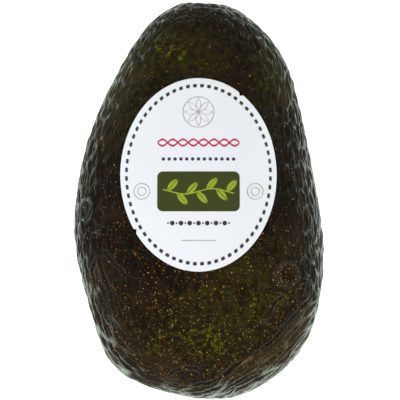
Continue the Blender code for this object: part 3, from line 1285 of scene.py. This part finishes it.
@dataclass(frozen=True)
class AvocadoSkinFinish:
    """Ripe avocado peel: a waxy, corky rind. Nearly black brown with olive and green showing through,
    tan cork specks, and a net of smooth ridges that turns satin grey towards the rims. A grey painted
    highlight runs along the crests of the folds and rings, and painted shade fills the creases' valleys."""

    black: str = "#19120c"
    brown: str = "#281c11"
    olive: str = "#332e10"
    leaf: str = "#43420b"
    lime: str = "#636600"
    bloom: str = "#232524"
    # Painted highlight along the crests of the folds and rings
    fold: str = "#4c4e4a"
    dry: str = "#5b4c2e"
    # Painted shade in the creases' valleys, also on the lines round the rings
    valley: str = "#0c0907"
    cork: str = "#6e4f2e"
    torn: str = "#7d5e38"
    speck_tan: str = "#bd8c46"
    speck_rust: str = "#7c4512"
    speck_lime: str = "#7e8406"
    roughness_ridge: float = 0.45
    roughness_cell: float = 0.60
    specular_level: float = 0.02
    ior: float = 1.46
    wax_roughness: float = 0.24
    wax_ior: float = 1.5
    wax_tint: str = "#98cbb0"
    wax_range: Pair = (1.48, 2.60)
    slant_wax: float = 2.1
    dry_wax: float = -0.3
    wrinkle_wax: float = 0.24
    green_share: float = 0.32
    olive_share: float = 0.30

    def build(self) -> bpy.types.Material:
        """Makes the material from Object coordinates and the mesh's own attributes.

        Returns:
            The material.
        """
        material, add, shader, place = new_material("avocado_peel_waxy")
        read = {name: add("Attribute", output="Fac", attribute_name=name) for name in SKIN_ATTRIBUTES}
        ridge = self.ridges(add, place, read)
        dry = add("Math", {0: read["dry"], 1: ridge}, operation="MULTIPLY")
        speck, speck_colour = self.specks(add, place, read["specks"], read["green"])
        colour = self.peel_colour(add, place, read, ridge, dry)
        colour = add("Mix", {"Factor": speck, "A": colour, "B": speck_colour}, data_type="RGBA")
        # Seen at a slant the wax shines over more of each ridge, and less of the dry ones
        slant = add("LayerWeight", {"Blend": 0.5}, output="Facing")
        wrinkle = add("Math", {0: read["streaks"], 1: ridge}, operation="MULTIPLY")
        waxed = add("Math", {0: ridge, 1: read["waxed"]}, operation="ADD")
        for pattern, share in ((slant, self.slant_wax), (dry, self.dry_wax), (wrinkle, self.wrinkle_wax)):
            waxed = add("Math", {0: pattern, 1: share, 2: waxed}, operation="MULTIPLY_ADD")
        start, end = self.wax_range
        wax = {"Value": waxed, "From Min": start, "From Max": end}
        rough = {"Value": ridge, "To Min": self.roughness_cell, "To Max": self.roughness_ridge}
        normal = self.relief(add, place, ridge, speck)
        feed(shader, {
            "Base Color": colour,
            "Roughness": add("MapRange", rough),
            "Normal": normal,
            "IOR": self.ior,
            "Specular IOR Level": self.specular_level,
            "Coat Weight": add("MapRange", wax, interpolation_type="SMOOTHSTEP"),
            "Coat Roughness": self.wax_roughness,
            "Coat IOR": self.wax_ior,
            "Coat Tint": linear(self.wax_tint),
            "Coat Normal": normal,
        })
        return material

    def peel_colour(self, add: Add, place: Socket, read: dict[str, Socket], ridge: Socket,
                    dry: Socket) -> Socket:
        """The peel's colours, laid over black one by one, with a painted highlight on the crests of the folds
        and rings and painted shade in the creases' valleys.

        Args:
            add: adds a node to the material.
            place: Object coordinates.
            read: the mesh's attributes.
            ridge: one on the ridges.
            dry: one on the ridges of dry skin.

        Returns:
            The colour without specks.
        """
        # Clouds of brown and black 12 mm across, dapples of 4 mm and a mottle of 1.4 mm
        broad = add("TexNoise", {"Vector": place, "Scale": 1.0 / (12.0 * MM), "Detail": 3.0})
        dapple = add("TexNoise", {"Vector": place, "Scale": 1.0 / (4.0 * MM), "Detail": 2.0})
        fine = {"Scale": 1.0 / (1.4 * MM), "Detail": 4.0, "Roughness": 0.62}
        mottle = add("TexNoise", {"Vector": place} | fine)
        greened = add("Math", {0: read["green"], 1: self.green_share, 2: mottle}, operation="MULTIPLY_ADD")
        olived = add("Math", {0: read["olive"], 1: self.olive_share, 2: mottle}, operation="MULTIPLY_ADD")
        torn = self.torn_threads(add, place, read["crease_mm"], read["torn"])
        # Each layer: its pattern, where that starts and is full, how the share runs between, its strength
        layers = (
            (broad, 0.44, 0.66, "SMOOTHSTEP", 1.0, self.brown),
            (olived, 0.55, 0.92, "SMOOTHSTEP", 1.0, self.olive),
            (greened, 0.78, 0.92, "SMOOTHSTEP", 1.0, self.leaf),
            (greened, 0.865, 0.95, "SMOOTHSTEP", 1.0, self.lime),
            (dapple, 0.50, 0.66, "SMOOTHSTEP", 0.6, self.black),
            (ridge, 0.0, 1.0, "LINEAR", 0.3, self.bloom),
            # Painted highlight along the crests of the creases and rings
            (read["folds"], 0.0, 1.0, "LINEAR", 0.4, self.fold),
            (read["dry"], 0.0, 1.0, "LINEAR", 0.15, self.dry),
            (dry, 0.0, 1.0, "LINEAR", 0.36, self.dry),
            # Painted shade in crease valleys, dark lines round the rings, and the faint net's darker patch
            (read["valley"], 0.0, 1.0, "LINEAR", 0.62, self.valley),
            (read["tan"], 0.0, 1.0, "LINEAR", 1.0, self.cork),
            (torn, 0.0, 1.0, "LINEAR", 1.0, self.torn),
        )
        colour = linear(self.black)
        for pattern, start, full, run, strength, top in layers:
            share = add("MapRange", {
                "Value": pattern, "From Min": start, "From Max": full, "To Max": strength,
            }, interpolation_type=run, clamp=False)
            colour = add("Mix", {"Factor": share, "A": colour, "B": linear(top)}, data_type="RGBA")
        return colour

    def torn_threads(self, add: Add, place: Socket, crease: Socket, share: Socket) -> Socket:
        """Threads of torn cork beside the long crease, 0.4 mm wide and 5 mm long, out to 1 mm from it.

        Args:
            add: adds a node to the material.
            place: Object coordinates.
            crease: millimetres to the left of the crease.
            share: one along the part of the crease that has threads.

        Returns:
            One on a thread.
        """
        across = add("CombineXYZ", {"X": crease})
        across = add("VectorMath", {0: across, 1: (1.9, 0.0, 0.0)}, operation="MULTIPLY")
        stretched = add("VectorMath", {0: place, 1: (0.2 / MM,) * 3, 2: across}, operation="MULTIPLY_ADD")
        cork = add("TexNoise", {"Vector": stretched, "Scale": 1.0, "Detail": 2.0})
        away = add("Math", {0: crease, 1: 0.45}, operation="SUBTRACT")
        away = add("Math", {0: away}, operation="ABSOLUTE")
        for pattern, start, end in ((away, 0.55, 0.1), (cork, 0.54, 0.63)):
            part = add("MapRange", {
                "Value": pattern, "From Min": start, "From Max": end,
            }, interpolation_type="SMOOTHSTEP")
            share = add("Math", {0: share, 1: part}, operation="MULTIPLY")
        return share

    def borders(self, add: Add, vector: Socket, scale: tuple[float, float, float], width: float) -> Socket:
        """The borders of Voronoi cells, which are flat cells where the third scale is zero.

        Args:
            add: adds a node to the material.
            vector: the coordinates that the cells lie in.
            scale: cells for each unit of the three coordinates.
            width: how far a border reaches into its cells, in cells.

        Returns:
            One on a border, falling to zero at that width.
        """
        scaled = add("Mapping", {"Vector": vector, "Scale": scale})
        dimensions = "3D" if scale[2] else "2D"
        cells = add("TexVoronoi", {"Vector": scaled, "Scale": 1.0}, feature="DISTANCE_TO_EDGE",
                    voronoi_dimensions=dimensions)
        fall = {"Value": cells, "From Max": width, "To Min": 1.0, "To Max": 0.0}
        return add("MapRange", fall, interpolation_type="SMOOTHSTEP")

    def ridges(self, add: Add, place: Socket, read: dict[str, Socket]) -> Socket:
        """The waxy ridges, bent by noise that changes over 3 mm.

        On the laid out skin they are a flat net of cells 2.4 mm wide and 6 mm long. A solid net takes
        over at both ends and along the underside, and long wrinkles 1.2 mm apart in the wrinkled zones.

        Args:
            add: adds a node to the material.
            place: Object coordinates.
            read: the mesh's attributes.

        Returns:
            One on a ridge's crest, falling to zero in a cell.
        """
        bend = add("TexNoise", {"Vector": place, "Scale": 1.0 / (3.0 * MM), "Detail": 2.0})
        laid_out = add("CombineXYZ", {"X": read["around_mm"], "Y": read["arc_mm"]})
        run = add("CombineXYZ", {"X": read["across_mm"], "Y": read["along_mm"]})
        nets = []
        for vector, shift, scale, width in (
            (place, (2.2 * MM,) * 3, (0.44 / MM, 0.31 / MM, 0.44 / MM), 0.27),
            (laid_out, (2.6, 2.6, 0.0), (0.42, 0.16, 0.0), 0.23),
            (run, (1.3, 0.0, 0.0), (0.85, 0.08, 0.0), 0.21),
        ):
            inputs = {0: bend.node.outputs["Color"], 1: shift, 2: vector}
            nets.append(self.borders(add, add("VectorMath", inputs, operation="MULTIPLY_ADD"), scale, width))
        solid, flat, wrinkles = nets
        net = add("Mix", {"Factor": read["charted"], "A": solid, "B": flat})
        strength = add("MapRange", {"Value": bend, "From Min": 0.38, "From Max": 0.62, "To Min": 0.75})
        net = add("Math", {0: net, 1: strength}, operation="MULTIPLY")
        lines = add("Mix", {"Factor": read["streaks"], "A": net, "B": wrinkles})
        ridge = add("Math", {0: lines, 1: read["folds"]}, operation="MAXIMUM")
        raised = add("Math", {0: 1.0, 1: read["valley"]}, operation="SUBTRACT")
        return add("Math", {0: ridge, 1: raised}, operation="MULTIPLY")

    def specks(self, add: Add, place: Socket, density: Socket, green: Socket) -> tuple[Socket, Socket]:
        """Cork specks 0.2 to 0.6 mm wide: discs round the points of two Voronoi patterns, some left out.

        Args:
            add: adds a node to the material.
            place: Object coordinates.
            density: share of the specks that show.
            green: share of green in the skin, which turns specks lime.

        Returns:
            The specks' mask and their colour.
        """
        masks = []
        # Each pattern: its spacing, and the least and the greatest radius as shares of it
        for spacing, least, most in ((1.05 * MM, 0.12, 0.26), (0.68 * MM, 0.13, 0.26)):
            cells = add("TexVoronoi", {"Vector": place, "Scale": 1.0 / spacing})
            draw = add("SeparateColor", {0: cells.node.outputs["Color"]}).node.outputs
            size = add("MapRange", {"Value": draw[0], "To Min": least, "To Max": most})
            inside = add("Math", {0: size, 1: cells}, operation="SUBTRACT")
            disc = add("MapRange", {"Value": inside, "From Min": -0.02, "From Max": 0.10})
            shown = add("Math", {0: draw[1], 1: density}, operation="LESS_THAN")
            masks.append(add("Math", {0: disc, 1: shown}, operation="MULTIPLY"))
        greener = add("Math", {0: green, 1: draw[0]}, operation="ADD")
        colour = linear(self.speck_rust)
        for pattern, start, end, top in (
            (draw[2], 0.15, 1.05, self.speck_tan),
            (greener, 1.05, 1.7, self.speck_lime),
        ):
            share = add("MapRange", {
                "Value": pattern, "From Min": start, "From Max": end,
            }, interpolation_type="SMOOTHSTEP")
            colour = add("Mix", {"Factor": share, "A": colour, "B": linear(top)}, data_type="RGBA")
        return add("Math", {0: masks[0], 1: masks[1]}, operation="MAXIMUM"), colour

    def relief(self, add: Add, place: Socket, ridge: Socket, speck: Socket) -> Socket:
        """Fine relief: the ridges, crisp wrinkles 1.1 mm apart, grain of 0.35 mm and the specks.

        Args:
            add: adds a node to the material.
            place: Object coordinates.
            ridge: one on the ridges.
            speck: one on a cork speck.

        Returns:
            The bent normal.
        """
        crisp = self.borders(add, place, (0.9 / MM,) * 3, 0.16)
        grain = add("TexNoise", {"Vector": place, "Scale": 1.0 / (0.35 * MM), "Detail": 2.0})
        below: dict[str, Any] = {}
        for height, raised_mm in ((ridge, 0.21), (crisp, 0.04), (grain, 0.06), (speck, 0.05)):
            below = {"Normal": add("Bump", below | {"Height": height, "Distance": raised_mm * MM})}
        return below["Normal"]


@dataclass(frozen=True)
class LabelPaperFinish:
    """Machine coated label paper, offset printed: cool white, semi-matt, with a fine fibre grain."""

    white: str = "#f3f5fa"
    shade: str = "#eaedf3"
    roughness: float = 0.5
    fibre_height: float = 0.02 * MM
    ink_edge_mm: float = 0.05
    ink_cover: float = 0.99

    def build(self) -> bpy.types.Material:
        """Makes the material: paper, and each ink where its distance field is below zero.

        Returns:
            The material.
        """
        material, add, shader, place = new_material("coated_label_paper")
        # Fibres clump at 0.6 mm
        fibre = add("TexNoise", {"Vector": place, "Scale": 1.0 / (0.6 * MM), "Detail": 4.0})
        paper = {"Factor": fibre, "A": linear(self.white), "B": linear(self.shade)}
        colour = add("Mix", paper, data_type="RGBA")
        for ink in Ink:
            printed = add("MapRange", {
                "Value": add("Attribute", output="Fac", attribute_name=ink.name.lower()),
                "From Min": -self.ink_edge_mm, "From Max": self.ink_edge_mm,
                "To Min": self.ink_cover, "To Max": 0.0,
            })
            colour = add("Mix", {"Factor": printed, "A": colour, "B": linear(ink.value)}, data_type="RGBA")
        bump = add("Bump", {"Height": fibre, "Distance": self.fibre_height})
        feed(shader, {"Base Color": colour, "Roughness": self.roughness, "Normal": bump})
        return material


@dataclass(frozen=True)
class StalkWoodFinish:
    """Dry stalk wood: matt, corky, grey brown, with rays from its pith and a dark cracked edge."""

    form: FruitForm
    dark: str = "#3b2819"
    light: str = "#8f7048"
    edge: str = "#22170e"
    roughness: float = 0.85
    wood_radius: float = 2.9 * MM
    crack_height: float = 0.2 * MM

    def build(self) -> bpy.types.Material:
        """Makes the material from Object coordinates, measured from the stem end's axis.

        Returns:
            The material.
        """
        material, add, shader, place = new_material("stalk_wood_dry")
        away = add("VectorMath", {0: place, 1: tuple(self.form.pole(End.STEM))}, operation="SUBTRACT")
        away = add("VectorMath", {0: away, 1: (1.0, 0.0, 1.0)}, operation="MULTIPLY")
        reach = add("VectorMath", {0: away}, operation="LENGTH")
        heading = add("VectorMath", {0: away}, operation="NORMALIZE")
        # A grain of 0.5 mm over rays that change slowly on their way out
        grain = add("TexNoise", {"Vector": place, "Scale": 1.0 / (0.5 * MM), "Detail": 4.0})
        steps = add("VectorMath", {0: place, 1: (0.25 / MM,) * 3}, operation="MULTIPLY")
        drawn = add("VectorMath", {0: heading, 1: (3.0, 3.0, 3.0), 2: steps}, operation="MULTIPLY_ADD")
        rays = add("TexNoise", {"Vector": drawn, "Scale": 1.6, "Detail": 3.0})
        mixed = add("Math", {0: rays, 1: grain}, operation="ADD")
        share = add("MapRange", {"Value": mixed, "From Min": 0.8, "From Max": 1.2})
        wood = {"Factor": share, "A": linear(self.dark), "B": linear(self.light)}
        rim = add("MapRange", {
            "Value": reach, "From Min": 0.82 * self.wood_radius, "From Max": 1.08 * self.wood_radius,
        })
        pith = add("MapRange", {
            "Value": reach, "From Min": 0.2 * MM, "From Max": 0.6 * MM, "To Min": 0.8, "To Max": 0.0,
        })
        dimmed = add("Math", {0: rim, 1: pith}, operation="MAXIMUM")
        colour = {"Factor": dimmed, "A": add("Mix", wood, data_type="RGBA"), "B": linear(self.edge)}
        bump = {"Height": mixed, "Strength": 0.8, "Distance": self.crack_height}
        feed(shader, {
            "Base Color": add("Mix", colour, data_type="RGBA"),
            "Roughness": self.roughness,
            "Normal": add("Bump", bump),
        })
        return material


@dataclass(frozen=True)
class AreaLamp:
    """A soft square light that faces the fruit."""

    name: str
    place: tuple[float, float, float]
    power: float
    size: float = 0.5

    def build(self) -> None:
        """Adds the light, turned towards the fruit's middle. The gloss doesn't mirror it."""
        light = bpy.data.lights.new(self.name, "AREA")
        light.energy = self.power
        light.size = self.size
        lamp = bpy.data.objects.new(self.name, light)
        lamp.visible_glossy = False
        lamp.location = self.place
        away = lamp.location - Vector((0.0, 0.0, OUTLINE_LEVEL))
        lamp.rotation_euler = away.to_track_quat("Z", "Y").to_euler()
        bpy.context.scene.collection.objects.link(lamp)


@dataclass(frozen=True)
class Studio:
    """A pale floor, soft light that is stronger near the horizon, and a camera straight above."""

    floor_half: float = 3.0
    floor_colour: str = "#f1f6f0"
    floor_roughness: float = 0.9
    floor_tint: str = "#f0fff0"
    floor_glow: Pair = (0.58, 0.90)
    glow_heading: tuple[float, float, float] = (1.0, -0.8, 0.0)
    glow_reach: float = 0.12
    sky_colour: str = "#f6fff7"
    overhead: float = 0.03
    horizon: float = 1.1
    sky_range: Pair = (0.02, 0.24)
    lamps: tuple[AreaLamp, ...] = (
        AreaLamp("overhead_softbox", (0.0, 0.0, 1.6), 9.0),
        AreaLamp("left_softbox", (-0.75, -0.05, 0.62), 4.1),
        AreaLamp("right_softbox", (0.75, -0.05, 0.62), 3.1),
        AreaLamp("far_softbox", (0.1, 0.80, 0.58), 1.2),
        AreaLamp("near_softbox", (0.0, -0.80, 0.58), 2.0),
    )

    def build(self) -> None:
        """Adds the floor, the world, the lamps and the camera."""
        self.add_floor()
        self.add_world()
        for lamp in self.lamps:
            lamp.build()
        self.add_camera()

    def add_floor(self) -> None:
        """A pale sheet on z = 0 with a little light of its own, more to the right and the front."""
        half = self.floor_half
        corners = [(-half, -half, 0.0), (half, -half, 0.0), (half, half, 0.0), (-half, half, 0.0)]
        mesh = bpy.data.meshes.new("pale_floor")
        mesh.from_pydata(corners, [], [(0, 1, 2, 3)])
        material, add, shader, place = new_material("pale_floor_paper")
        reach = add("VectorMath", {0: place, 1: self.glow_heading}, operation="DOT_PRODUCT")
        glow = add("MapRange", {
            "Value": reach, "From Min": -self.glow_reach, "From Max": self.glow_reach,
            "To Min": self.floor_glow[0], "To Max": self.floor_glow[1],
        })
        feed(shader, {
            "Base Color": linear(self.floor_colour),
            "Roughness": self.floor_roughness,
            "Specular IOR Level": 0.0,
            "Emission Color": linear(self.floor_tint),
            "Emission Strength": glow,
        })
        mesh.materials.append(material)
        floor = bpy.data.objects.new("pale_floor", mesh)
        bpy.context.scene.collection.objects.link(floor)

    def add_world(self) -> None:
        """A sky that grows brighter from straight above down to the horizon."""
        world = bpy.data.worlds.new("studio_sky")
        world.use_nodes = True
        add = partial(add_node, world.node_tree)
        height = add("SeparateXYZ", {0: add("TexCoord", output="Generated")}, output="Z")
        strength = add("MapRange", {
            "Value": height, "From Min": self.sky_range[0], "From Max": self.sky_range[1],
            "To Min": self.horizon, "To Max": self.overhead,
        }, interpolation_type="SMOOTHSTEP")
        background = world.node_tree.nodes["Background"]
        feed(background, {"Color": linear(self.sky_colour), "Strength": strength})
        bpy.context.scene.world = world

    def add_camera(self) -> None:
        """A camera straight above the origin, with +Y up in the picture."""
        camera = bpy.data.objects.new("camera", bpy.data.cameras.new("camera"))
        camera.data.lens = CAMERA_LENS_MM
        camera.location = (0.0, 0.0, CAMERA_HEIGHT)
        bpy.context.scene.collection.objects.link(camera)
        bpy.context.scene.camera = camera


def main() -> None:
    """Builds the studio and the three pieces in order."""
    logging.basicConfig(level=logging.INFO, format="%(name)s: %(message)s")
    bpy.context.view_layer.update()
    bpy.context.scene.view_settings.view_transform = "Standard"
    Studio().build()
    form = FruitForm()
    outline = LabelOutline()
    PebbledSkin(form, outline, MainPebbles(form), SkinMarks()).build(AvocadoSkinFinish().build())
    StalkButton(form).build(StalkWoodFinish(form).build())
    PaperLabel(form, outline, LabelPrint()).build(LabelPaperFinish().build())


if __name__ == "__main__":
    main()
